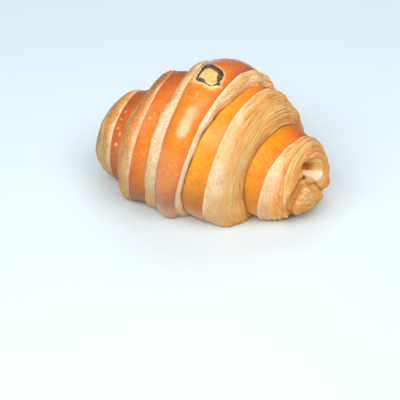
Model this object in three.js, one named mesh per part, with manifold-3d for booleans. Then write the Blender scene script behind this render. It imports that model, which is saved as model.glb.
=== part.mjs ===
// A plump croissant rolled from one sheet of laminated dough, with a thin dried ring baked onto its top.
// Millimetres, +Z up. The roll's length is along X, its front is at -Y and its flat base lies on Z = 0,
// with the origin under the middle of its bounding box.
import * as THREE from 'three';
import Module from 'manifold-3d';
import { mergeVertices } from 'three/addons/utils/BufferGeometryUtils.js';

const wasm = await Module();
wasm.setup();

// The roll: its axis stands highest near the middle and drops towards both ends.
const AXIS_HEIGHT = 29;
const AXIS_HEIGHT_AT_ENDS = 11;
const AXIS_HALF_LENGTH = 58;
const AXIS_PEAK_X = -9;

// Its cross-section: a little taller than wide, fuller below the axis, and slanted towards +X at the back.
const TALLNESS = 1.06;
const LOWER_FULLNESS = 0.9;
const SLANT = 0.07;
const MIDDLE_CROWN = 2.5;
const SKIN_ROUNDNESS = 0.8;

// Each wrap ends in a lip, the edge of its baked skin. From there a cut face of dough layers steps down to
// the crease where the next wrap starts. The lip's X, its radius from the axis, the width of the cut and the
// radius at the crease are each given where they pass four places around the roll: the front foot, the
// front, the top and the back foot.
const PLACES = { frontFoot: 130, front: 60, top: 0, backFoot: -130 };
const RIGHT_WRAPS = [
  {
    lip: [-5.5, 3.4, 11.5, 20.5],
    radius: [37, 39, 39, 38],
    cut: [3.5, 1.8, 4.5, 8],
    crease: [34, 36, 32.5, 31],
  },
  {
    lip: [8.5, 14.5, 21.5, 31],
    radius: [36.5, 36.5, 35, 33],
    cut: [18, 12.5, 12.5, 9],
    crease: [24, 24, 24, 24],
  },
  {
    lip: [31.5, 35.5, 42.5, 48],
    radius: [24, 24, 23.5, 22],
  },
];
const LEFT_WRAPS = [
  {
    lip: [-16, -10.5, -7.5, -23],
    radius: [36, 37, 37, 36],
    cut: [-7, -7.6, -5.2, -4.5],
    crease: [33, 33, 33, 33],
  },
  {
    lip: [-31.5, -26, -22.5, -41],
    radius: [32.5, 31, 31, 31],
    cut: [-7.5, -10, -8.5, -8.5],
    crease: [24.5, 24.5, 24.5, 24.5],
  },
  {
    lip: [-44, -43, -41, -46],
    radius: [21, 22, 22, 22],
  },
];
const RIGHT_END = new THREE.Vector3(58, 4, 19);
const LEFT_END = new THREE.Vector3(-58, -3, 17);

// The ring lies on the middle band's skin, at this angle from the top and this share of the band's width.
// It is a flattened band, half as wide and half as thick as given, just clear of the skin.
const RING_ANGLE = 7.5;
const RING_ACROSS = 0.475;
const RING_RADIUS = 6.2;
const RING_HALF_WIDTH = 1.3;
const RING_HALF_THICKNESS = 0.6;
const RING_GAP = 0.3;

// How finely the surfaces are divided.
const STEPS_AROUND = 44;
const STEPS_MIDDLE = 10;
const STEPS_SKIN = 5;
const STEPS_CUT = 7;
const RING_STEPS = 28;
const RING_SIDES = 8;

const BAKED_SKIN = new THREE.MeshStandardMaterial({ color: 0xe8933a, roughness: 0.35, metalness: 0 });
const DRIED_RING = new THREE.MeshStandardMaterial({ color: 0x3a2a20, roughness: 0.5, metalness: 0 });

// The closed curve through values given at the four places: a cubic between each two, with slopes that
// never overshoot. Under the base the curve passes the mean of its two feet.
function aroundTheRoll(values, degrees) {
  const under = (values[0] + values[3]) / 2;
  const at = [-180, PLACES.backFoot, PLACES.top, PLACES.front, PLACES.frontFoot, 180];
  const height = [under, values[3], values[2], values[1], values[0], under];
  const rise = at.slice(1).map((angle, i) => (height[i + 1] - height[i]) / (angle - at[i]));
  const slope = height.map((_, i) => {
    if (i === 0 || i === 5 || rise[i - 1] * rise[i] <= 0) return 0;
    const before = at[i] - at[i - 1];
    const after = at[i + 1] - at[i];
    const weightBefore = 2 * after + before;
    const weightAfter = after + 2 * before;
    return (weightBefore + weightAfter) / (weightBefore / rise[i - 1] + weightAfter / rise[i]);
  });
  const i = Math.min(at.findLastIndex((angle) => angle <= degrees), 4);
  const span = at[i + 1] - at[i];
  const t = (degrees - at[i]) / span;
  const start = (1 + 2 * t) * (1 - t) ** 2 * height[i] + t * (1 - t) ** 2 * span * slope[i];
  const end = t * t * (3 - 2 * t) * height[i + 1] + t * t * (t - 1) * span * slope[i + 1];
  return start + end;
}

// The axis falls away from its peak as a parabola.
function axisHeight(x) {
  const away = Math.min(Math.abs(x - AXIS_PEAK_X) / AXIS_HALF_LENGTH, 1);
  return AXIS_HEIGHT_AT_ENDS + (AXIS_HEIGHT - AXIS_HEIGHT_AT_ENDS) * (1 - away ** 2);
}

// The point of the roll at x along it, at a radius from its axis and an angle from the top to the front.
function onTheRoll(x, radius, degrees) {
  const angle = THREE.MathUtils.degToRad(degrees);
  const sine = Math.sin(angle);
  const bulge = Math.cos(angle) < 0 ? Math.sign(sine) * Math.abs(sine) ** LOWER_FULLNESS : sine;
  const forward = radius * bulge;
  const height = axisHeight(x) + TALLNESS * radius * Math.cos(angle);
  return new THREE.Vector3(x - SLANT * forward, -forward, height);
}

// The middle band runs from the left lip (across = 0) to the right lip (across = 1), crowned between them.
function onMiddleBand(across, degrees) {
  const left = aroundTheRoll(LEFT_WRAPS[0].lip, degrees);
  const right = aroundTheRoll(RIGHT_WRAPS[0].lip, degrees);
  const crown = MIDDLE_CROWN * 4 * across * (1 - across);
  const leftRadius = aroundTheRoll(LEFT_WRAPS[0].radius, degrees);
  const rightRadius = aroundTheRoll(RIGHT_WRAPS[0].radius, degrees);
  const radius = THREE.MathUtils.lerp(leftRadius, rightRadius, across) + crown;
  return onTheRoll(THREE.MathUtils.lerp(left, right, across), radius, degrees);
}

// The line along one side of the roll at one angle, from the middle band's lip out to the end's tip.
function sideLine(wraps, tip, degrees) {
  const line = [];
  wraps.forEach((wrap, number) => {
    const lip = aroundTheRoll(wrap.lip, degrees);
    const lipRadius = aroundTheRoll(wrap.radius, degrees);
    if (number > 0) {
      const inner = wraps[number - 1];
      const start = aroundTheRoll(inner.lip, degrees) + aroundTheRoll(inner.cut, degrees);
      const innerCrease = aroundTheRoll(inner.crease, degrees);
      for (let step = 1; step <= STEPS_SKIN; step += 1) {
        const turn = (step / STEPS_SKIN) * (Math.PI / 2);
        const x = start + (lip - start) * (1 - Math.cos(turn));
        const rise = (lipRadius - innerCrease) * Math.sin(turn) ** SKIN_ROUNDNESS;
        line.push(onTheRoll(x, innerCrease + rise, degrees));
      }
    }
    const edge = onTheRoll(lip, lipRadius, degrees);
    for (let step = 1; step <= STEPS_CUT; step += 1) {
      const turn = (step / STEPS_CUT) * (Math.PI / 2);
      if (wrap.cut) {
        const x = lip + aroundTheRoll(wrap.cut, degrees) * Math.sin(turn);
        const crease = aroundTheRoll(wrap.crease, degrees);
        line.push(onTheRoll(x, crease + (lipRadius - crease) * Math.cos(turn), degrees));
      } else if (step < STEPS_CUT) {
        const out = tip.clone().sub(edge);
        const reach = new THREE.Vector3(Math.sin(turn), 1 - Math.cos(turn), 1 - Math.cos(turn));
        line.push(edge.clone().add(out.multiply(reach)));
      }
    }
  });
  return line;
}

// The whole line along the roll at one angle, from just inside the left tip to just inside the right tip.
function fullLine(degrees) {
  const middle = [];
  for (let step = 0; step <= STEPS_MIDDLE; step += 1) middle.push(onMiddleBand(step / STEPS_MIDDLE, degrees));
  const left = sideLine(LEFT_WRAPS, LEFT_END, degrees).reverse();
  return [...left, ...middle, ...sideLine(RIGHT_WRAPS, RIGHT_END, degrees)];
}

// A closed skin over lines that run from one tip to the other, all the way around the roll.
function closedSkin(lines, leftTip, rightTip) {
  const count = lines[0].length;
  const points = [...lines.flat(), leftTip, rightTip];
  const leftIndex = points.length - 2;
  const rightIndex = points.length - 1;
  const faces = [];
  lines.forEach((_, k) => {
    const here = k * count;
    const next = ((k + 1) % lines.length) * count;
    for (let i = 0; i < count - 1; i += 1) {
      faces.push(here + i, next + i, here + i + 1);
      faces.push(here + i + 1, next + i, next + i + 1);
    }
    faces.push(leftIndex, next, here);
    faces.push(rightIndex, here + count - 1, next + count - 1);
  });
  const geometry = new THREE.BufferGeometry().setFromPoints(points);
  geometry.setIndex(faces);
  return geometry;
}

function toSolid(geometry) {
  const bare = geometry.clone();
  bare.deleteAttribute('normal');
  bare.deleteAttribute('uv');
  const merged = mergeVertices(bare, 1e-4);
  return new wasm.Manifold(new wasm.Mesh({
    numProp: 3,
    vertProperties: new Float32Array(merged.attributes.position.array),
    triVerts: new Uint32Array(merged.index.array),
  }));
}

function toGeometry(solid) {
  const mesh = solid.getMesh();
  const geometry = new THREE.BufferGeometry();
  geometry.setAttribute('position', new THREE.BufferAttribute(mesh.vertProperties, 3));
  geometry.setIndex(new THREE.BufferAttribute(mesh.triVerts, 1));
  geometry.computeVertexNormals();
  return geometry;
}

// The roll cut flat where it lies on the baking sheet.
function croissantGeometry() {
  const lines = Array.from({ length: STEPS_AROUND }, (_, k) => fullLine(-180 + (360 * k) / STEPS_AROUND));
  const roll = toSolid(closedSkin(lines, LEFT_END, RIGHT_END));
  const depth = 60;
  const below = new THREE.BoxGeometry(200, 150, depth).translate(0, 0, -depth / 2);
  return toGeometry(roll.subtract(toSolid(below)));
}

// The outward direction of the middle band's skin.
function middleBandNormal(across, degrees) {
  const origin = onMiddleBand(across, degrees);
  const sideways = onMiddleBand(across + 0.01, degrees).sub(origin);
  const backwards = onMiddleBand(across, degrees - 1).sub(origin);
  return sideways.cross(backwards).normalize();
}

// A round band whose middle line follows the skin, held clear of it by the gap.
function ringGeometry() {
  const centre = onMiddleBand(RING_ACROSS, RING_ANGLE);
  const up = middleBandNormal(RING_ACROSS, RING_ANGLE);
  const alongRoll = new THREE.Vector3(1, 0, 0).projectOnPlane(up).normalize();
  const aroundRoll = up.clone().cross(alongRoll);
  const leftLip = aroundTheRoll(LEFT_WRAPS[0].lip, RING_ANGLE);
  const rightLip = aroundTheRoll(RIGHT_WRAPS[0].lip, RING_ANGLE);
  const points = [];
  const faces = [];
  for (let k = 0; k < RING_STEPS; k += 1) {
    const turn = (k / RING_STEPS) * Math.PI * 2;
    const outward = alongRoll.clone().multiplyScalar(Math.cos(turn));
    outward.addScaledVector(aroundRoll, Math.sin(turn));
    const target = centre.clone().addScaledVector(outward, RING_RADIUS);
    const across = RING_ACROSS + (RING_RADIUS * Math.cos(turn)) / (rightLip - leftLip);
    const radius = Math.hypot(target.y, (target.z - axisHeight(target.x)) / TALLNESS);
    const degrees = THREE.MathUtils.radToDeg(Math.asin(-target.y / radius));
    const foot = onMiddleBand(across, degrees);
    const normal = middleBandNormal(across, degrees);
    foot.addScaledVector(normal, RING_HALF_THICKNESS + RING_GAP);
    for (let s = 0; s < RING_SIDES; s += 1) {
      const around = (s / RING_SIDES) * Math.PI * 2;
      const point = foot.clone().addScaledVector(outward, RING_HALF_WIDTH * Math.cos(around));
      points.push(point.addScaledVector(normal, RING_HALF_THICKNESS * Math.sin(around)));
      const next = (s + 1) % RING_SIDES;
      const onward = ((k + 1) % RING_STEPS) * RING_SIDES;
      faces.push(k * RING_SIDES + s, onward + s, k * RING_SIDES + next);
      faces.push(k * RING_SIDES + next, onward + s, onward + next);
    }
  }
  const geometry = new THREE.BufferGeometry().setFromPoints(points);
  geometry.setIndex(faces);
  geometry.computeVertexNormals();
  return geometry;
}

const croissant = new THREE.Mesh(croissantGeometry(), BAKED_SKIN);
croissant.name = 'croissant';

const garnishRing = new THREE.Mesh(ringGeometry(), DRIED_RING);
garnishRing.name = 'garnish_ring';

const part = new THREE.Group();
part.add(croissant, garnishRing);

export default part;
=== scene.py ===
import bpy
import numpy as np
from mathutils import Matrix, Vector


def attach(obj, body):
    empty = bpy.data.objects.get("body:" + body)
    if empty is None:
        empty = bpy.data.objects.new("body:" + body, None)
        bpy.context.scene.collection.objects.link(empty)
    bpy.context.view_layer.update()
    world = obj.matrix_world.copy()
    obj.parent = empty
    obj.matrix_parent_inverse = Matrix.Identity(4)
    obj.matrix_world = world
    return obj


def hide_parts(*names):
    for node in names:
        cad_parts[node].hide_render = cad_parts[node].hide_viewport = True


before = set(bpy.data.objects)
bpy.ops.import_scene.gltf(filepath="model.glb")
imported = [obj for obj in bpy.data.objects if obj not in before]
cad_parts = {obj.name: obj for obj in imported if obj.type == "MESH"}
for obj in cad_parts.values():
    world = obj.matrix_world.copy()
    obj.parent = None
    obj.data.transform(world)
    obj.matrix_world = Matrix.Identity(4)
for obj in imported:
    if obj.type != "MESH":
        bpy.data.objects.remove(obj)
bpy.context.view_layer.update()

# ---------------------------------------------------------------------------------------------------
# The croissant. One triangle of dough, folded with butter into many thin layers, is rolled up from its
# wide side and baked as one piece. The egg-washed outside of each wrap bakes to a glossy skin, and its
# cut edge opens into pale layers that step down to the next wrap. It bakes lying on its flat base.
# ---------------------------------------------------------------------------------------------------

MM = 0.001

# The roll's axis stands highest near the middle. Its section is a little taller than wide, fuller below
# the axis, and slanted towards +X at the back.
AXIS_HEIGHT = 29.0
AXIS_HEIGHT_AT_ENDS = 11.0
AXIS_HALF_LENGTH = 58.0
AXIS_PEAK_X = -9.0
TALLNESS = 1.06
LOWER_FULLNESS = 0.9
SLANT = 0.07
BASE_SOFTNESS = 0.35
MIDDLE_CROWN = 2.5
SKIN_ROUNDNESS = 0.8
LIP_WOBBLE = 0.12

# The wraps from the middle out. Each tuple of four holds for the front foot, the front, the top and the
# back foot: where the lip is, how wide the cut face below it is, and the radii at the lip and the crease.
# The steps are how finely a wrap is divided. Its looks are how golden its skin is (tone), how thick the
# egg wash is (gloss), how much its foot is dulled, partly by browning and partly by painted shade with a
# lighter painted floor bounce at the very base, how much painted shade darkens its top, the shares of the
# cut face where the layers begin and where they are full (thick), how many of them show (layers), and two
# stripes along them (amber and shade), each as from, to and strength.
PLACES = (130.0, 60.0, 0.0, -130.0)
RIGHT_WRAPS = (
    dict(radius=(37, 39, 39, 38), lip=(-5.5, 3.4, 11.5, 20.5), cut=(3.5, 1.8, 4.5, 8),
         crease=(34, 36, 32.5, 31), cut_steps=30,
         tone=0.56, gloss=1.0, dull_and_shaded_foot=0.9, thick=(0.5, 1.15), layers=0.5),
    dict(radius=(36.5, 36.5, 35, 33), lip=(8.5, 14.5, 21.5, 31), cut=(18, 12.5, 12.5, 9),
         crease=(24, 24, 24, 24), skin_steps=26, cut_steps=90,
         tone=0.95, gloss=0.15, thick=(0.2, 0.5)),
    dict(radius=(24, 24, 23.5, 22), lip=(31.5, 35.5, 42.5, 48), tip=(58, 4, 19),
         skin_steps=24, cut_steps=100,
         tone=0.88, gloss=0.2, dull_and_shaded_foot=0.45, thick=(0.08, 0.22)),
)
LEFT_WRAPS = (
    dict(radius=(36, 37, 37, 36), lip=(-16, -10.5, -7.5, -23), cut=(-7, -7.6, -5.2, -4.5),
         crease=(33, 33, 33, 33), cut_steps=32,
         tone=0.5, gloss=1.0, thick=(0.3, 1.2), shade=(0.5, 1.3, 0.5)),
    dict(radius=(32.5, 31, 31, 31), lip=(-31.5, -26, -22.5, -41), cut=(-7.5, -10, -8.5, -8.5),
         crease=(24.5, 24.5, 24.5, 24.5), skin_steps=24, cut_steps=38,
         tone=0.6, gloss=0.15, painted_top_shade=0.3, thick=(0.25, 0.45),
         amber=(0.1, 0.55, 1.0), shade=(0.45, 1.3, 0.6)),
    dict(radius=(21, 22, 22, 22), lip=(-44, -43, -41, -46), tip=(-58, -3, 17),
         skin_steps=22, cut_steps=44,
         tone=0.36, gloss=0.6, thick=(0.05, 0.25),
         amber=(0.04, 0.36, 0.7), shade=(0.42, 1.3, 0.6)),
)
USUAL_FOOT_SHADE = 0.8
MIDDLE_STEPS = 40
STEPS_AROUND = 188
STEPS_UNDER = 12
UNDER_ANGLE = 138.0


def loop(places, values, angle):
    """A closed smooth curve through values at places, in degrees: between each two a cubic, whose slope
    at a place is the weighted harmonic mean of the rises on its two sides, or nothing at a peak."""
    order = np.argsort(places)
    place = np.asarray(places, float)[order]
    value = np.asarray(values, float)[order]
    place = np.concatenate([place[-2:] - 360, place, place[:2] + 360])
    value = np.concatenate([value[-2:], value, value[:2]])
    gap = np.diff(place)
    rise = np.diff(value) / gap
    same_way = rise[:-1] * rise[1:] > 0
    before, after = np.where(same_way, rise[:-1], 1), np.where(same_way, rise[1:], 1)
    weight_before, weight_after = 2 * gap[1:] + gap[:-1], gap[1:] + 2 * gap[:-1]
    mean = (weight_before + weight_after) / (weight_before / before + weight_after / after)
    slope = np.concatenate([[0], np.where(same_way, mean, 0), [0]])
    at = (np.asarray(angle, float) - place[2]) % 360 + place[2]
    i = np.clip(np.searchsorted(place, at, side="right") - 1, 0, len(gap) - 1)
    t = (at - place[i]) / gap[i]
    start = (1 + 2 * t) * (1 - t) ** 2 * value[i] + t * (1 - t) ** 2 * gap[i] * slope[i]
    return start + t * t * (3 - 2 * t) * value[i + 1] + t * t * (t - 1) * gap[i] * slope[i + 1]


def around(values, angle):
    """The curve through values at the four places, passing the mean of the two feet under the base."""
    under = (values[0] + values[3]) / 2
    return loop(PLACES + (180.0,), tuple(values) + (under,), angle)


def at_roll(x, radius, angle):
    """The point at x along the roll, at a radius from its axis and an angle from the top to the front.
    The axis falls as a parabola, and a height below the floor is rounded up to it."""
    turn = np.radians(angle)
    sine = np.sin(turn)
    bulge = np.where(np.cos(turn) < 0, np.sign(sine) * np.abs(sine) ** LOWER_FULLNESS, sine)
    away = np.minimum(np.abs(x - AXIS_PEAK_X) / AXIS_HALF_LENGTH, 1)
    axis = AXIS_HEIGHT_AT_ENDS + (AXIS_HEIGHT - AXIS_HEIGHT_AT_ENDS) * (1 - away ** 2)
    forward = radius * bulge
    height = axis + TALLNESS * radius * np.cos(turn)
    height = (height + np.sqrt(height ** 2 + 4 * BASE_SOFTNESS ** 2)) / 2
    return np.stack([x - SLANT * forward, -forward, height], -1)


def middle_band(share, angle):
    """The middle band's skin from its left lip (share 0) to its right lip (1), crowned as a parabola."""
    left, right = around(LEFT_WRAPS[0]["lip"], angle), around(RIGHT_WRAPS[0]["lip"], angle)
    crown = MIDDLE_CROWN * 4 * share * (1 - share)
    low, high = around(LEFT_WRAPS[0]["radius"], angle), around(RIGHT_WRAPS[0]["radius"], angle)
    return at_roll(left + (right - left) * share, low + (high - low) * share + crown, angle)


def smooth(low, high, value):
    """A smooth step: nothing below low, one above high, and a cubic between."""
    t = np.clip((value - low) / (high - low), 0, 1)
    return t * t * (3 - 2 * t)


def bell(distance, width):
    """One where the distance is nothing, falling as a bell curve over a width."""
    return np.exp(-(distance / width) ** 2)


def ripple(points, length, seed, waves=28):
    """Soft random hills about one length apart: a sum of plane waves in random directions."""
    draw = np.random.default_rng(seed)
    direction = draw.normal(size=(waves, 3))
    direction *= (2 * np.pi / length * draw.uniform(0.7, 1.3, (waves, 1))
                  / np.linalg.norm(direction, axis=1, keepdims=True))
    phase = draw.uniform(0, 2 * np.pi, waves)
    return np.cos(points @ direction.T + phase).sum(-1) * np.sqrt(2 / waves)


# The angles around the roll, in degrees from the top to the front: close together over the top and the
# sides, and far apart under the base.
over = np.linspace(-UNDER_ANGLE, UNDER_ANGLE, STEPS_AROUND, endpoint=False)
under = np.linspace(UNDER_ANGLE, 360 - UNDER_ANGLE, STEPS_UNDER, endpoint=False)
angle = np.concatenate([over, under])[:, None]


def side_bands(wraps, seed):
    """One side of the roll as bands from the middle out: skins that rise from a crease as a quarter
    ellipse, cut faces that fall from a lip as one, and an end that closes on its tip as one."""
    bands = []
    inner = None
    circle = np.stack([np.cos(np.radians(angle)), np.sin(np.radians(angle)), 0 * angle], -1)
    for number, wrap in enumerate(wraps):
        lip = around(wrap["lip"], angle)
        lip_radius = around(wrap["radius"], angle)
        if inner:
            lip = lip + LIP_WOBBLE * ripple(circle + (0, 0, number), 0.9, seed + number)
            u = np.arange(1, wrap["skin_steps"] + 1) / wrap["skin_steps"]
            turn = u * np.pi / 2
            x = inner["end"] + (lip - inner["end"]) * (1 - np.cos(turn))
            radius = inner["crease"] + (lip_radius - inner["crease"]) * np.sin(turn) ** SKIN_ROUNDNESS
            bands.append(dict(points=at_roll(x, radius, angle), u=u, skin=1, wrap=wrap))
        u = np.arange(1, wrap["cut_steps"] + 1) / wrap["cut_steps"]
        turn = u * np.pi / 2
        if "tip" in wrap:
            u, turn = u[:-1], turn[:-1]
            edge = at_roll(lip, lip_radius, angle)
            tip = np.array(wrap["tip"], float)
            points = tip + (edge - tip) * np.stack([1 - np.sin(turn), np.cos(turn), np.cos(turn)], -1)
        else:
            cut = around(wrap["cut"], angle)
            crease = around(wrap["crease"], angle)
            radius = crease + (lip_radius - crease) * np.cos(turn)
            points = at_roll(lip + cut * np.sin(turn), radius, angle)
            inner = dict(end=lip + cut, crease=crease)
        bands.append(dict(points=points, u=u, skin=0, wrap=wrap))
    return bands


middle_u = np.linspace(0, 1, MIDDLE_STEPS + 1)
middle = dict(points=middle_band(middle_u, angle), u=middle_u, skin=1, wrap=RIGHT_WRAPS[0])
left_bands, right_bands = side_bands(LEFT_WRAPS, 50), side_bands(RIGHT_WRAPS, 40)
points = np.concatenate([band["points"][:, ::-1] for band in reversed(left_bands)]
                        + [middle["points"]] + [band["points"] for band in right_bands], axis=1)


def spread(value_of):
    """The values of each band, laid out along the roll in the order of the points."""
    parts = [value_of(band)[::-1] for band in reversed(left_bands)] + [value_of(middle)]
    return np.concatenate(parts + [value_of(band) for band in right_bands]).astype(float)


def of_wrap(name, otherwise=0.0):
    """What each point's own wrap states by a name, with a row for each number where that is a tuple."""
    stated = spread(lambda band: np.tile(band["wrap"].get(name, otherwise), (len(band["u"]), 1)))
    return np.squeeze(stated.T)


def on_bands(chosen):
    """One at the points of the chosen bands, and nothing elsewhere."""
    return spread(lambda band: np.full(len(band["u"]), any(band is one for one in chosen)))


def across_band(band):
    """How far each point lies from its wrap's lip in millimetres, averaged around the roll."""
    step = np.linalg.norm(np.diff(band["points"], axis=1), axis=-1).mean(0)
    return np.concatenate([[0], np.cumsum(step)]) + step[0]


u = spread(lambda band: band["u"])
across = spread(across_band) * of_wrap("layers", 1.0) * np.ones_like(points[..., 0])
is_skin = spread(lambda band: np.full(len(band["u"]), band["skin"]))
on_cut = 1 - is_skin
is_middle = on_bands([middle])
on_left = on_bands(left_bands)
on_left_end = on_bands(left_bands[-1:])
on_right_end = on_bands(right_bands[-1:])


def face_normals(grid):
    """The outward direction at each point of the closed grid, from its two tangents."""
    along = np.gradient(grid, axis=1)
    ahead = np.roll(grid, -1, 0) - np.roll(grid, 1, 0)
    normal = np.cross(along, -ahead)
    return normal / np.maximum(np.linalg.norm(normal, axis=-1, keepdims=True), 1e-9)


normals = face_normals(points)
step_widths = np.linalg.norm(np.diff(points, axis=1), axis=-1)
place_along = np.cumsum(np.concatenate([step_widths, step_widths[:, -1:]], axis=1), axis=1)

# Beside each lip runs a smooth cream strip, which narrows over the top, and beyond it thin layers.
front = 0.15 + 0.85 * smooth(5, 62, angle)
strip_edge = u + 0.03 * ripple(points, 9, 71)
thick_from, thick_to = of_wrap("thick")
layered = on_cut * np.clip((strip_edge - thick_from * front) / ((thick_to - thick_from) * front), 0, 1)


def stripe(name):
    """A soft stripe around the roll on the cut faces of the wraps that state one by that name."""
    low, high, strength = of_wrap(name, (0, 1, 0))
    soft = 0.1
    low = low * (0.35 + 0.65 * smooth(15, 60, angle))
    inside = smooth(low, low + soft, strip_edge) * (1 - smooth(high - soft, high, strip_edge))
    return on_cut * strength * inside * (1 - 0.65 * smooth(60, 95, np.abs(angle)))


# The open middle of the spiral at the right end, seen from the end as Y and Z in millimetres: a hollow
# with a pale shelf in it, a small pit beside it, and a browned knob below it.
HOLLOW = dict(centre=(-7.6, 29.8), along=(0.88, -0.475), half_sizes=(5.9, 5.2), depth=7.5)
SHELF = dict(centre=(-4.9, 25.2), along=(0.8, -0.6), half_sizes=(4.0, 3.2))
PIT = dict(centre=(-13.2, 28.4), along=(1, 0), half_sizes=(1.4, 1.4), depth=1.6)
KNOB = dict(centre=(0.3, 17.9), along=(1, 0), half_sizes=(5.3, 5.3), height=2.3)
RIM_HEIGHT = 0.7
side_y, side_z = points[..., 1], points[..., 2]


def own_place(feature):
    """How far each point is from a feature's centre, along its length and up from it."""
    y, z = side_y - feature["centre"][0], side_z - feature["centre"][1]
    along_y, along_z = feature["along"]
    return y * along_y + z * along_z, z * along_y - y * along_z


def from_centre(feature):
    """How far each point is from a feature's centre as a share of its half sizes: 1 on its ellipse."""
    length, height = own_place(feature)
    return np.hypot(length / feature["half_sizes"][0], height / feature["half_sizes"][1])


def fills(feature, soft_from, uneven=0.0):
    """One inside a feature of the right end, falling from a share of the way out to nothing on its
    ellipse, which may be uneven."""
    return on_right_end * (1 - smooth(soft_from, 1.0, from_centre(feature) + uneven))


hollow = fills(HOLLOW, 0.76, 0.08 * ripple(points, 3.5, 61))
hollow_rim = on_right_end * bell(from_centre(HOLLOW) - 1.12, 0.2)
up_the_hollow = own_place(HOLLOW)[1]
shelf, pit, knob = fills(SHELF, 0.6), fills(PIT, 0.3), fills(KNOB, 0.1)

# The tongue of dough that hangs from the spiral's middle down to the table and stands further out above
# its foot. Its left edge is a crevice along two half parabolas that meet at its turn, and its upper edge
# is a straight step with a groove below it.
CREVICE_TURN = (-18.6, 15.0)
CREVICE_BENDS = (0.052, 0.028)
CREVICE_DEPTH = 2.6
STEP_START = (-14.0, 25.9)
STEP_SLOPE = 1.07
STEP_HEIGHT = 0.5
GROOVE_DEPTH = 1.1
TONGUE_HEIGHTS = (1.2, 2.6)
bend = np.where(side_z < CREVICE_TURN[1], *CREVICE_BENDS)
past_crevice = side_y - (CREVICE_TURN[0] + bend * (side_z - CREVICE_TURN[1]) ** 2)
below_step = STEP_START[1] - STEP_SLOPE * (side_y - STEP_START[0]) - side_z
below_step = below_step / np.hypot(1, STEP_SLOPE) + 0.5 * ripple(points, 8, 62)
tongue = on_right_end * smooth(0, 1.6, past_crevice) * smooth(0, 1.3, below_step)
tongue_height = TONGUE_HEIGHTS[0] + (TONGUE_HEIGHTS[1] - TONGUE_HEIGHTS[0]) * smooth(4, 14, side_z)
crevice = on_right_end * bell(past_crevice + 0.3, 1.1) * (1 - smooth(27, 30, side_z))
along_step = on_right_end * smooth(0.5, 2, past_crevice)
step_edge = along_step * bell(below_step + 0.2, 0.5)
groove = along_step * bell(below_step + 1.1, 0.55) * (1 - shelf) * (1 - knob)

# The layers of the right end run beside its lip, and further in as nested circles: from the lip to the
# hollow the centre moves steadily from the roll's axis to the hollow's as the circle shrinks, so the
# share shrunk at each point solves a quadratic. The tongue's layers fan out from a place below its foot.
LIP_CENTRE = np.array([0, 19.0])
LIP_RADIUS = 24.0
END_FACE_WIDTH = 26.0
END_LAYERS = 0.62
FAN_CENTRE = (-5.0, -6.0)
FAN_NARROWING = 0.7
TONGUE_FIRST_LAYER = 60.0
end_spot = np.stack([side_y, side_z], -1) - LIP_CENTRE
end_shift = np.array(HOLLOW["centre"]) - LIP_CENTRE
square = end_shift @ end_shift - LIP_RADIUS ** 2
linear = 2 * (LIP_RADIUS ** 2 - end_spot @ end_shift)
offset = (end_spot ** 2).sum(-1) - LIP_RADIUS ** 2
shrunk = (np.sqrt(np.maximum(linear ** 2 - 4 * square * offset, 0)) - linear) / (2 * square)
towards_hollow = smooth(0.1, 0.5, u)
nested = END_FACE_WIDTH * shrunk * towards_hollow + END_LAYERS * across * (1 - towards_hollow)
fan = np.hypot(FAN_NARROWING * (side_y - FAN_CENTRE[0]), side_z - FAN_CENTRE[1])
on_tongue = tongue > 0.4
across = np.where(on_right_end > 0, nested, across)
across = np.where(on_tongue, TONGUE_FIRST_LAYER + END_LAYERS * fan + 0.3 * ripple(points, 6, 63), across)
layered = np.where(on_tongue, 1, layered) * (1 - 0.8 * hollow) * (1 - 0.85 * shelf * (1 - tongue))

# The left end shows the roll's spiral: one sheet that winds out from the tip by one pitch a turn, thicker
# towards its outer edge, where it steps down to the turn outside it.
SPIRAL_PITCH = 6.6
SPIRAL_DEPTH = 1.5
SPIRAL_REACH = (10.0, 15.0)
tip_y, tip_z = LEFT_WRAPS[-1]["tip"][1:]
from_tip = np.hypot(side_y - tip_y, side_z - tip_z)
turns = from_tip / SPIRAL_PITCH - np.arctan2(side_z - tip_z, side_y - tip_y) / (2 * np.pi)
turns = turns + 0.05 * ripple(points, 12, 91)
turn_part = turns - np.floor(turns)
on_spiral = on_left_end * smooth(0.8, 3, from_tip) * (1 - smooth(*SPIRAL_REACH, from_tip))
spiral_drop = on_spiral * (0.45 - turn_part * (1 - smooth(0.85, 1, turn_part)))
spiral_shadow = on_spiral * bell(np.minimum(turn_part, 1 - turn_part), 0.07)

# Each wrap takes the random shares of its sheets from a place set by its radius, so neighbours differ.
SHEET_SHARES = 97
first_share = of_wrap("radius")[0].astype(int)


def sheets(spacing, seed):
    """Overlapping sheets: the distance from the lip, made wavy, is cut into steps. Gives the part of the
    way through each step, and the step's own random share from 0 to 1."""
    wavy = across / spacing + 0.45 * ripple(points, 34, seed) + 0.1 * ripple(points, 9, seed + 1)
    number = np.floor(wavy).astype(int)
    shares = np.random.default_rng(seed).uniform(0, 1, SHEET_SHARES)
    return wavy - number, shares[(number + first_share) % SHEET_SHARES]


# Broad sheets and fine ones. Each rises to its outer edge, which is browned, and falls back behind it.
part, own = sheets(1.5, 11)
fine_part, fine_own = sheets(0.75, 14)
fading = np.clip(0.6 + 0.4 * ripple(points, 13, 17), 0, 1.4)
sheet_lift = (0.1 + 0.3 * own) * part ** 0.8 * (1 - smooth(0.72, 1, part))
sheet_lift = sheet_lift + (0.04 + 0.12 * fine_own) * fine_part * (1 - smooth(0.7, 1, fine_part))
sheet_tone = 0.6 * own + 0.4 * fine_own - 0.15 * on_right_end
browned_edge = smooth(0.62, 0.82, part) * (0.35 + 0.65 * own) * fading

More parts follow.
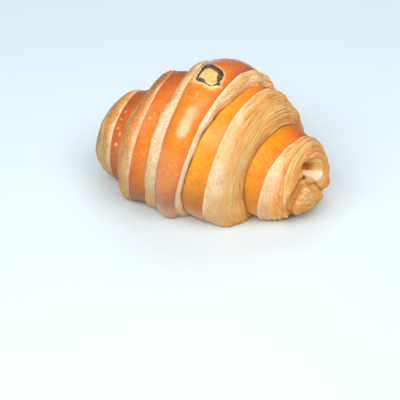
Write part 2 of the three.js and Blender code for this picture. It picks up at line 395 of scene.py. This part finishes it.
# Blisters where steam lifted the washed skin: a place on the roll, a radius and a height.
BLISTERS = (
    ((-41.5, -20.9, 31.9), 1.5, 0.8), ((-40.2, -19.0, 36.8), 1.3, 0.5), ((-39.6, -21.5, 34.0), 0.7, 0.35),
    ((-40.6, -10.7, 44.4), 0.9, 0.4), ((-42.0, -16.9, 38.6), 0.8, 0.4), ((-41.2, -13.8, 42.0), 0.7, 0.35),
    ((-23.9, -21.6, 51.7), 1.3, 0.6), ((-22.2, -20.0, 53.5), 0.9, 0.5), ((-20.4, -24.3, 50.0), 0.6, 0.3),
    ((-1.5, -17.3, 67.5), 1.0, 0.55), ((-2.9, -22.5, 65.0), 0.5, 0.25), ((-6.3, -27.0, 58.0), 0.5, 0.2),
    ((9.0, 14.0, 69.0), 1.1, 0.4), ((2.0, 27.0, 60.0), 1.4, 0.6), ((-27.0, 20.0, 52.0), 1.2, 0.5),
)
blister = 0 * across
blister_lift = 0 * across
for where, radius, lift in BLISTERS:
    dome = 1 - smooth(0.2, 1.0, np.linalg.norm(points - np.array(where), axis=-1) / radius)
    blister = np.maximum(blister, dome)
    blister_lift = np.maximum(blister_lift, dome * lift)


def skin_relief(place):
    """The skin's own soft unevenness."""
    return 0.30 * ripple(place, 24, 1) + 0.07 * ripple(place, 7, 2)


# Everything that stands proud of the smooth roll or lies below it, along the outward direction.
ragged = on_cut * layered * (1 - smooth(1.5, 6, side_z))
relief = is_skin * (skin_relief(points) + blister_lift) + on_cut * 0.25 * ripple(points, 12, 3)
relief = relief + layered * (sheet_lift * fading * 1.5 - 0.15)
relief = relief + 0.35 * ragged * ripple(points, 2.2, 72)
relief = relief - HOLLOW["depth"] * hollow + RIM_HEIGHT * hollow_rim * (1 - tongue) - PIT["depth"] * pit
relief = relief + KNOB["height"] * knob + tongue_height * tongue * (1 - knob) - CREVICE_DEPTH * crevice
relief = relief + STEP_HEIGHT * step_edge - GROOVE_DEPTH * groove - SPIRAL_DEPTH * spiral_drop
points = points + normals * relief[..., None]
points[..., 2] = np.maximum(points[..., 2], 0)

# How golden the skin is, from dark red brown at 0 to yellow at 1: it deepens from each crease to the lip
# and over the top and the back. The middle band is lighter halfway between its lips as a painted
# highlight, and the left wraps are darker over the top with painted shade.
crease_gradient_and_middle_highlight = np.where(is_middle > 0, 0.12 - 0.3 * np.abs(2 * u - 1) ** 4, 0.28 - 0.5 * u)
over_the_top = 1 - smooth(-15, 55, angle)
over_the_back = 1 - smooth(-35, 12, angle)
top_browning_and_left_shade = 0.22 * over_the_top * (1 - 0.4 * is_middle + 0.8 * on_left)
golden_tone = of_wrap("tone") * (1 - 0.5 * over_the_back) + crease_gradient_and_middle_highlight - top_browning_and_left_shade

# A thin painted shadow darkens each crease, where a cut face meets the next skin.
CREASE_SHADOW = 0.6
at_crease = (np.diff(is_skin, append=is_skin[-1]) != 0) & (u > 0.99) & (is_skin == 0)
crease = 0 * place_along
for column in np.flatnonzero(at_crease):
    crease = np.maximum(crease, bell(place_along - place_along[:, column:column + 1], CREASE_SHADOW))

# Around the garnish the wash was kept off, so the skin is pale there. At places around the ring, in
# degrees, stand the radius of its middle line and its half width.
RING_CENTRE = np.array([0.13, -6.19])
RING_PLACES = (-148, -122, -103, -80, -60, -35, -26, -14, 2, 40, 72, 108, 122, 145, 180)
RING_RADII = (5.0, 4.4, 4.2, 5.4, 6.5, 6.4, 6.8, 5.6, 5.5, 6.3, 6.2, 8.2, 7.3, 5.1, 4.4)
RING_HALF_WIDTHS = (0.7, 1.0, 0.9, 0.3, 0.22, 0.32, 1.0, 0.7, 1.1, 1.3, 1.3, 1.55, 1.1, 0.6, 0.5)
LOWEST_NEAR_RING = 55
out_x, out_y = points[..., 0] - RING_CENTRE[0], points[..., 1] - RING_CENTRE[1]
bearing = np.degrees(np.arctan2(out_y, out_x))
from_ring = np.hypot(out_x, out_y) - loop(RING_PLACES, RING_RADII, bearing)
near_top = is_middle * (points[..., 2] > LOWEST_NEAR_RING)
inside_ring = near_top * (1 - smooth(-1.0, 0.2, from_ring))
towards_left = 0.5 - 0.5 * np.cos(np.radians(bearing + 30))
pale_width = 2.8 + 2.4 * towards_left ** 2
halo = near_top * (1 - smooth(0.3, 1.0, from_ring / pale_width))


def smooth_piece(name, vertices, faces):
    """A smooth-shaded object from vertices in millimetres."""
    mesh = bpy.data.meshes.new(name)
    mesh.from_pydata(vertices * MM, [], faces)
    mesh.polygons.foreach_set("use_smooth", [True] * len(mesh.polygons))
    mesh.update()
    piece = bpy.data.objects.new(name, mesh)
    bpy.context.collection.objects.link(piece)
    return piece


def closed_piece(name, grid, first_pole, last_pole, attributes):
    """A piece over a grid that closes around its first axis and ends in a pole at each end."""
    rows, columns = grid.shape[:2]
    here = np.arange(rows)[:, None] * columns + np.arange(columns - 1)
    ahead = np.roll(here, -1, 0)
    quads = np.stack([here, ahead, ahead + 1, here + 1], -1).reshape(-1, 4)
    first, last = rows * columns, rows * columns + 1
    ring = np.arange(rows) * columns
    next_ring = np.roll(ring, -1)
    start = np.stack([np.full(rows, first), next_ring, ring], -1)
    end = np.stack([np.full(rows, last), ring + columns - 1, next_ring + columns - 1], -1)
    vertices = np.concatenate([grid.reshape(-1, 3), [first_pole, last_pole]])
    piece = smooth_piece(name, vertices, quads.tolist() + start.tolist() + end.tolist())
    for label, values in attributes.items():
        full = np.broadcast_to(values, (rows, columns))
        flat = np.concatenate([full.ravel(), [full[:, 0].mean(), full[:, -1].mean()]])
        attribute = piece.data.attributes.new(label, "FLOAT", "POINT")
        attribute.data.foreach_set("value", flat.astype(np.float32))
    return piece


roll = closed_piece("croissant_baked", points, LEFT_WRAPS[-1]["tip"], RIGHT_WRAPS[-1]["tip"], dict(
    skin=is_skin, left=on_left, tone=golden_tone, gloss=of_wrap("gloss"), blister=blister, crease=crease,
    dull_and_shaded_foot=of_wrap("dull_and_shaded_foot", USUAL_FOOT_SHADE), painted_top_shade=over_the_top * of_wrap("painted_top_shade"),
    halo=halo, inside_ring=inside_ring,
    across=across, share=u, layered=layered, sheet=sheet_tone, edge=browned_edge * layered,
    amber=stripe("amber"), shade=stripe("shade"),
    hollow=hollow, upper=up_the_hollow, shelf=shelf, pit=pit, knob=knob, tongue=tongue,
    # crevice carries the painted shade in the crevice, the groove and the spiral's step
    crevice=np.maximum(np.maximum(crevice, 0.8 * groove), spiral_shadow)))


class Wire:
    """One output of a node. Arithmetic with wires or numbers adds Math nodes to the same finish."""

    def __init__(self, finish, socket):
        self.finish = finish
        self.socket = socket

    def maths(self, operation, first, second):
        return self.finish.add("ShaderNodeMath", {0: first, 1: second}, operation=operation)

    def __add__(self, other):
        return self.maths("ADD", self, other)

    def __radd__(self, other):
        return self.maths("ADD", other, self)

    def __sub__(self, other):
        return self.maths("SUBTRACT", self, other)

    def __rsub__(self, other):
        return self.maths("SUBTRACT", other, self)

    def __mul__(self, other):
        return self.maths("MULTIPLY", self, other)

    def __rmul__(self, other):
        return self.maths("MULTIPLY", other, self)


class Finish:
    """A material, grown node by node."""

    def __init__(self, name):
        self.material = bpy.data.materials.new(name)
        self.material.use_nodes = True
        self.tree = self.material.node_tree
        self.tree.nodes.clear()

    def add(self, kind, inputs=None, output=0, stops=None, **settings):
        """Adds a node of a type, with its settings first and then the values or links of its sockets."""
        node = self.tree.nodes.new(kind)
        for key, value in settings.items():
            setattr(node, key, value)
        if stops:
            ramp = node.color_ramp.elements
            while len(ramp) < len(stops):
                ramp.new(0.5)
            for element, (place, colour) in zip(ramp, stops):
                element.position = place
                element.color = colour
        for key, value in (inputs or {}).items():
            if isinstance(value, Wire):
                self.tree.links.new(value.socket, node.inputs[key])
            else:
                node.inputs[key].default_value = value
        return Wire(self, node.outputs[output]) if node.outputs else None

    def attribute(self, name):
        return self.add("ShaderNodeAttribute", output="Fac", attribute_name=name)

    def noise(self, place, scale, detail, roughness=0.5, distortion=0.0):
        """Soft random patches, about 1 / scale wide in the unit of the place that they are read at."""
        return self.add("ShaderNodeTexNoise", {"Vector": place, "Scale": scale, "Detail": detail,
                                               "Roughness": roughness, "Distortion": distortion})

    def between(self, low, high, value):
        """A smooth step from 0 at low to 1 at high."""
        return self.add("ShaderNodeMapRange", {0: value, 1: low, 2: high},
                        interpolation_type="SMOOTHSTEP")

    def blend(self, amount, first, second):
        """Mixes two colours by an amount."""
        return self.add("ShaderNodeMix", {0: amount, 6: first, 7: second}, output=2, data_type="RGBA")

    def painted(self, base, *coats):
        """A base with colours laid over it one after another, each by its own amount."""
        for amount, over in coats:
            base = self.blend(amount, base, over)
        return base


def colour(red, green, blue):
    """A screen colour from 0 to 255 as linear light."""
    value = np.array([red, green, blue]) / 255
    linear = np.where(value <= 0.04045, value / 12.92, ((value + 0.055) / 1.055) ** 2.4)
    return (*linear.tolist(), 1.0)


# Places and heights on the crust are in metres, its attributes across and upper are in millimetres, and
# its masks run from 0 to 1.
crust = Finish("baked_dough")
place = crust.add("ShaderNodeTexCoord", output="Object")
height = crust.add("ShaderNodeSeparateXYZ", {0: place}, output="Z")
depth = crust.add("ShaderNodeSeparateXYZ", {0: place}, output="Y")
skin, washed_and_lit, left, layered_part, tongue_part = (
    crust.attribute(name) for name in ("skin", "gloss", "left", "layered", "tongue"))

# The skin: golden where the wash was thick, mottled and finely pored, redder on the left wraps, whose tops
# are darkened by painted shade, and pale in its blisters and around the ring. Inside the ring it is cream.
# Near the base it is dulled, partly by browning and partly by painted shade, with a lighter painted floor
# bounce at the very foot.
broad = crust.noise(place, 30, 2)
wide = crust.noise(place, 160, 3, 0.6)
mottle = crust.noise(place, 170, 8, 0.7)
pores = crust.noise(place, 700, 3, 0.7)
rays = crust.noise(place, 700, 2)
golden = crust.add("ShaderNodeValToRGB", {0: crust.attribute("tone") + (broad - 0.5) * 0.4}, stops=[
    (0.0, colour(168, 78, 26)), (0.25, colour(208, 98, 24)), (0.5, colour(238, 126, 22)),
    (0.75, colour(250, 146, 16)), (1.0, colour(255, 166, 14))])
# Painted shade near the base: dark red brown a little above it, and a lighter painted floor bounce at the
# very foot, darker on the left wraps.
dull_and_shaded_foot = crust.blend(crust.between(0.018, 0.004, height), colour(158, 86, 38),
                   crust.blend(left, colour(206, 154, 118), colour(152, 104, 82)))
heart = crust.painted(
    colour(246, 208, 120),
    (crust.between(0.42, 0.62, wide) * 0.8, colour(226, 168, 84)),
    (crust.between(0.45, 0.62, rays) * 0.5, colour(214, 160, 84)))
golden = crust.painted(
    golden,
    (crust.between(0.46, 0.62, mottle) * 0.32, colour(206, 92, 22)),
    (crust.between(0.52, 0.66, pores) * 0.22, colour(255, 190, 96)),
    (crust.between(0.48, 0.34, pores) * 0.25, colour(196, 88, 26)),
    (crust.between(0.042, 0.008, height) * crust.attribute("dull_and_shaded_foot"), dull_and_shaded_foot),
    (crust.attribute("blister") * 0.7, colour(250, 196, 112)),
    (crust.attribute("halo") * 0.95, colour(250, 218, 152)),
    (crust.attribute("inside_ring"), heart))

# The cut faces are cream crumb beside the lip. Beyond it lie many thin layers, drawn out around the roll:
# amber to cream by sheet, with a pale line along each layer's edge, partly a painted highlight, and a
# dark one in the gap behind it, partly painted shade.
# Their pattern changes about once a millimetre across them, and once a centimetre along them.
ALONG_LAYERS = 70
layer_place = crust.add("ShaderNodeCombineXYZ", {0: crust.attribute("across"), 1: depth * ALONG_LAYERS,
                                                 2: height * ALONG_LAYERS})
fine = crust.noise(layer_place, 1.3, 5, 0.7, distortion=0.1)
crumb = crust.noise(place, 900, 3)
flaky = crust.noise(place, 520, 2, 0.6)
flecks = crust.noise(place, 800, 4, 0.75)
phase = crust.attribute("across") * 1.25 + wide * 1.4 + flaky * 1.1
thin = crust.add("ShaderNodeMath", {0: phase}, operation="FRACT")
pale_line_and_highlight = crust.between(0.0, 0.16, thin) * crust.between(0.42, 0.2, thin)
dark_line_and_shade = crust.between(0.74, 0.92, thin)
cream = crust.painted(
    colour(246, 216, 176),
    (crust.between(0.35, 0.68, wide), colour(243, 194, 130)),
    (crust.between(0.46, 0.64, crumb) * 0.5, colour(232, 176, 118)),
    # Painted light: the cut faces of the thickly washed wraps are painted a lighter cream.
    (washed_and_lit * 0.3, colour(255, 238, 205)),
    (crust.between(0.5, 0.66, fine) * 0.5, colour(230, 166, 98)))
sheet_colour = crust.add("ShaderNodeValToRGB", {0: fine * 0.75 + crust.attribute("sheet") * 0.3}, stops=[
    (0.36, colour(232, 128, 42)), (0.46, colour(255, 168, 68)), (0.55, colour(255, 198, 104)),
    (0.68, colour(255, 230, 168))])
sheet_colour = crust.painted(
    sheet_colour,
    (crust.attribute("edge") * 0.5, colour(214, 120, 44)),
    (pale_line_and_highlight * crust.between(0.34, 0.54, fine) * 0.9, colour(255, 228, 168)),
    (dark_line_and_shade * 0.75, colour(196, 92, 32)))
cut_colour = crust.painted(
    cream,
    (layered_part * (1 - washed_and_lit * 0.25), sheet_colour),
    (layered_part * dark_line_and_shade * 0.4, colour(222, 138, 56)),
    # painted highlights along the layers of the thickly washed wraps
    (washed_and_lit * layered_part * pale_line_and_highlight * 0.8, colour(255, 230, 172)))

# The left cut faces have an amber and a shaded stripe, browned and pale flecks, and painted shade at their
# foot.
streaks = 0.55 + crust.between(0.38, 0.6, fine) * 0.45
amber = crust.blend(crust.between(0.042, 0.030, height), colour(228, 136, 40), colour(184, 112, 62))
cut_colour = crust.painted(
    cut_colour,
    (crust.attribute("amber") * streaks, amber),
    (crust.attribute("shade") * streaks, colour(150, 114, 90)),
    (left * crust.between(0.48, 0.58, flecks) * 0.42, colour(200, 128, 62)),
    (left * crust.between(0.62, 0.70, flecks) * 0.7, colour(140, 86, 44)),
    (left * crust.between(0.42, 0.32, flecks) * 0.7, colour(252, 222, 164)),
    (left * crust.between(0.042, 0.012, height) * 0.55, colour(180, 150, 108)))

# The right end: the flaky tongue with painted shade at its foot, the pale shelf, the hollow with a pale
# crumb floor and a roof that darkens to brown with painted shade, the browned knob, and painted shade in
# the crevice and the pit.
# Painted shade: the hollow's roof and depths darken to brown.
painted_shade_roof = crust.blend(crust.between(0.35, 0.85, crust.attribute("hollow")), colour(244, 212, 136),
                   colour(192, 120, 46))
inside = crust.blend(crust.between(-1.6, 0.0, crust.attribute("upper")), colour(252, 244, 216), painted_shade_roof)
tongue_foot_shade = crust.between(0.017, 0.009, height) * crust.between(0.44, 0.54, wide)
cut_colour = crust.painted(
    cut_colour,
    (tongue_part * crust.between(0.48, 0.56, flaky) * 0.35, colour(204, 128, 78)),
    (tongue_part * pale_line_and_highlight * 0.7, colour(255, 226, 158)),
    (tongue_part * tongue_foot_shade * 0.7, colour(150, 86, 66)),
    (crust.attribute("shelf") * 0.85, colour(246, 236, 204)),
    (crust.attribute("hollow"), inside),
    (crust.between(0.1, 0.6, crust.attribute("knob")) * 0.85, colour(216, 118, 54)),
    (crust.attribute("crevice") * 0.6, colour(190, 104, 44)),
    (crust.attribute("pit"), colour(70, 62, 24)))

# Towards the base the cream turns tan and the layers amber, and a pale line runs along every lip. A
# painted shadow lies in every crease, over skin and cut face alike.
low_colour = crust.blend(layered_part, colour(208, 154, 94), colour(254, 184, 92))
cut_colour = crust.painted(
    cut_colour,
    (crust.between(0.036, 0.004, height) * 0.5, low_colour),
    (crust.between(0.05, 0.0, crust.attribute("share")) * 0.6, colour(255, 232, 190)))

painted_crease_shadow = crust.attribute("crease")
crust_colour = crust.painted(
    cut_colour,
    (skin, golden),
    # painted shade over the top of the left wraps
    (crust.attribute("painted_top_shade"), colour(170, 90, 40)),
    (painted_crease_shadow * 0.6, colour(136, 70, 28)))
soft_bump = mottle * 0.12 + pores * 0.05 + skin * broad * 0.6
cut_bump = (fine + pale_line_and_highlight * layered_part * 0.7 + crumb * 0.5) * (1 - skin)
bump = crust.add("ShaderNodeBump", {"Strength": 0.8, "Distance": 0.0006,
                                    "Height": cut_bump + soft_bump})
wash = skin * washed_and_lit * (0.25 + crust.between(0.008, 0.034, height) * 0.75) * (1 - painted_crease_shadow)
shader = crust.add("ShaderNodeBsdfPrincipled", {
    "Base Color": crust_colour, "Roughness": 0.74 - skin * (0.2 + washed_and_lit * 0.18), "Normal": bump,
    "Coat Weight": wash, "Coat Roughness": 0.24, "Specular IOR Level": 0.3,
    "Subsurface Weight": 0.1, "Subsurface Radius": (0.004, 0.002, 0.001), "Subsurface Scale": 0.5})
crust.add("ShaderNodeOutputMaterial", {0: shader})
roll.data.materials.append(crust.material)
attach(roll, "root")
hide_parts("croissant")

# ---------------------------------------------------------------------------------------------------
# The garnish. A thin slice whose ring dried, wrinkled and browned in the oven, lying on the top of the
# middle band, where it has baked onto the skin. Its front edge has shrunk to a thread with a knot.
# ---------------------------------------------------------------------------------------------------

# The ring's section is an oval, thinner where it is narrow. Its middle stands above the skin by a share
# of its half thickness, so that its underside is sunk in.
RING_STEPS, RING_SIDES = 360, 20
RING_HALF_THICKNESS = 0.6
FULL_HALF_WIDTH = 0.9
RING_LIFT = 0.55
WRINKLE_DEPTH = 0.22


def on_skin(x, y):
    """The point of the middle band's skin above a place in the plan, and the outward direction there: the
    angle from the axis is guessed from the height, and the height found from it again, six times."""
    up = np.sqrt(np.maximum(LEFT_WRAPS[0]["radius"][2] ** 2 - y ** 2, 1))
    for _ in range(6):
        turn = np.degrees(np.arctan2(-y, up))
        left, right = around(LEFT_WRAPS[0]["lip"], turn), around(RIGHT_WRAPS[0]["lip"], turn)
        share = (x - SLANT * y - left) / (right - left)
        foot = middle_band(share, turn)
        up = (foot[..., 2] - AXIS_HEIGHT) / TALLNESS
        up = np.sqrt(np.maximum(np.hypot(foot[..., 1], up) ** 2 - y ** 2, 1))
    sideways = middle_band(share + 0.01, turn) - foot
    forwards = middle_band(share, turn + 0.5) - foot
    outward = np.cross(forwards, sideways)
    outward = outward / np.linalg.norm(outward, axis=-1, keepdims=True)
    outward = outward * np.sign(outward[..., 2:])
    return foot + outward * skin_relief(foot)[..., None], outward


bearing = np.linspace(-180, 180, RING_STEPS, endpoint=False)[:, None]
turn = np.linspace(0, 2 * np.pi, RING_SIDES, endpoint=False)
teeth = 1 + 0.16 * np.sin(np.radians(bearing) * 17) + 0.1 * np.sin(np.radians(bearing) * 31 + 1)
half_width = loop(RING_PLACES, RING_HALF_WIDTHS, bearing) * teeth
reach = loop(RING_PLACES, RING_RADII, bearing) + half_width * np.cos(turn)
ring_x = RING_CENTRE[0] + reach * np.cos(np.radians(bearing))
ring_y = RING_CENTRE[1] + reach * np.sin(np.radians(bearing))
foot, outward = on_skin(ring_x, ring_y)
rise = RING_HALF_THICKNESS * np.minimum(1, half_width / FULL_HALF_WIDTH) * (np.sin(turn) + RING_LIFT)
ring_points = foot + outward * rise[..., None]
wrinkle = WRINKLE_DEPTH * ripple(ring_points, 1.5, 81) * np.maximum(np.sin(turn), 0)
ring_points = ring_points + outward * wrinkle[..., None]

here = np.arange(RING_STEPS)[:, None] * RING_SIDES
ahead = np.roll(here, -1, 0)
side, next_side = np.arange(RING_SIDES), (np.arange(RING_SIDES) + 1) % RING_SIDES
quads = np.stack([here + side, ahead + side, ahead + next_side, here + next_side], -1).reshape(-1, 4)
garnish = smooth_piece("garnish_dried_ring", ring_points.reshape(-1, 3), quads.tolist())

# Near black and glossy, with tan specks and purple patches.
dried = Finish("dried_garnish")
place = dried.add("ShaderNodeTexCoord", output="Object")
specks = dried.noise(place, 900, 4, 0.7)
patches = dried.noise(place, 350, 2)
dried_colour = dried.add("ShaderNodeValToRGB", {0: specks}, stops=[
    (0.35, colour(36, 25, 22)), (0.48, colour(66, 48, 40)), (0.58, colour(112, 88, 66)),
    (0.72, colour(170, 148, 112))])
dried_colour = dried.blend(dried.between(0.5, 0.65, patches) * 0.6, dried_colour, colour(88, 58, 70))
dried_bump = dried.add("ShaderNodeBump", {"Strength": 0.8, "Distance": 0.0003, "Height": specks})
dried_shader = dried.add("ShaderNodeBsdfPrincipled", {
    "Base Color": dried_colour, "Roughness": 0.2 + patches * 0.3, "Normal": dried_bump,
    "Coat Weight": 0.5, "Coat Roughness": 0.15})
dried.add("ShaderNodeOutputMaterial", {0: dried_shader})
garnish.data.materials.append(dried.material)
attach(garnish, "root")
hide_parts("garnish_ring")

# ---------------------------------------------------------------------------------------------------
# The camera looks down at the front from the right. Soft lights stand at the front left, the right and
# the back, and one more is seen only in the skin's gloss.
# ---------------------------------------------------------------------------------------------------

AZIMUTH, ELEVATION, DISTANCE = 19.0, 37.5, 0.593
TARGET = np.array([-0.0024, -0.0105, 0.0])
LIGHT_TARGET = np.array([0, 0, 0.03])


def direction(azimuth, elevation):
    """The direction from the object to a place at an azimuth from the front and an elevation."""
    a, e = np.radians(azimuth), np.radians(elevation)
    return np.array([np.sin(a) * np.cos(e), -np.cos(a) * np.cos(e), np.sin(e)])


def aimed(name, data, position, target):
    """An object at a position, turned so that it looks at the target."""
    piece = bpy.data.objects.new(name, data)
    bpy.context.collection.objects.link(piece)
    piece.location = position
    piece.rotation_euler = Vector(target - position).to_track_quat("-Z", "Y").to_euler()
    return piece


lens = bpy.data.cameras.new("camera")
lens.lens = 106.65
lens.sensor_width = 36
camera_place = TARGET + direction(AZIMUTH, ELEVATION) * DISTANCE
bpy.context.scene.camera = aimed("camera", lens, camera_place, TARGET)


def softbox(name, azimuth, elevation, distance, size, power, shines=True, lights=True, tint=(1, 1, 1)):
    """A rectangular soft light aimed at the object. Not shining, it shows in no gloss, and not lighting,
    it shows only there."""
    data = bpy.data.lights.new(name, "AREA")
    data.shape = "RECTANGLE"
    data.size, data.size_y = size
    data.energy = power
    data.color = tint
    lamp = aimed(name, data, direction(azimuth, elevation) * distance, LIGHT_TARGET)
    lamp.visible_glossy = shines
    lamp.visible_diffuse = lights


softbox("front_softbox", -15, 49, 0.9, (0.78, 0.46), 5.4)
softbox("front_shine", -15, 52, 0.88, (0.85, 0.62), 5.0, lights=False, tint=(1, 0.92, 0.95))
softbox("right_softbox", 62, 58, 1.0, (0.6, 0.6), 5.1, shines=False)
softbox("back_softbox", 190, 55, 1.1, (0.9, 0.6), 3, shines=False)

world = bpy.data.worlds.new("room")
world.use_nodes = True
world.node_tree.nodes["Background"].inputs["Color"].default_value = (0.9, 0.95, 1.0, 1)
world.node_tree.nodes["Background"].inputs["Strength"].default_value = 0.24
bpy.context.scene.world = world
bpy.context.scene.view_settings.view_transform = "Standard"

# The plain pale table lies a hair below the croissant's base.
HALF_TABLE = 1.5
TABLE_TOP = -0.0002
corners = [(x * HALF_TABLE, y * HALF_TABLE, TABLE_TOP) for x, y in ((-1, -1), (1, -1), (1, 1), (-1, 1))]
table = bpy.data.meshes.new("table")
table.from_pydata(corners, [], [(0, 1, 2, 3)])
floor = bpy.data.objects.new("table", table)
bpy.context.collection.objects.link(floor)
pale = Finish("pale_table")
pale_shader = pale.add("ShaderNodeBsdfPrincipled", {"Base Color": colour(220, 234, 240), "Roughness": 0.6})
pale.add("ShaderNodeOutputMaterial", {0: pale_shader})
table.materials.append(pale.material)
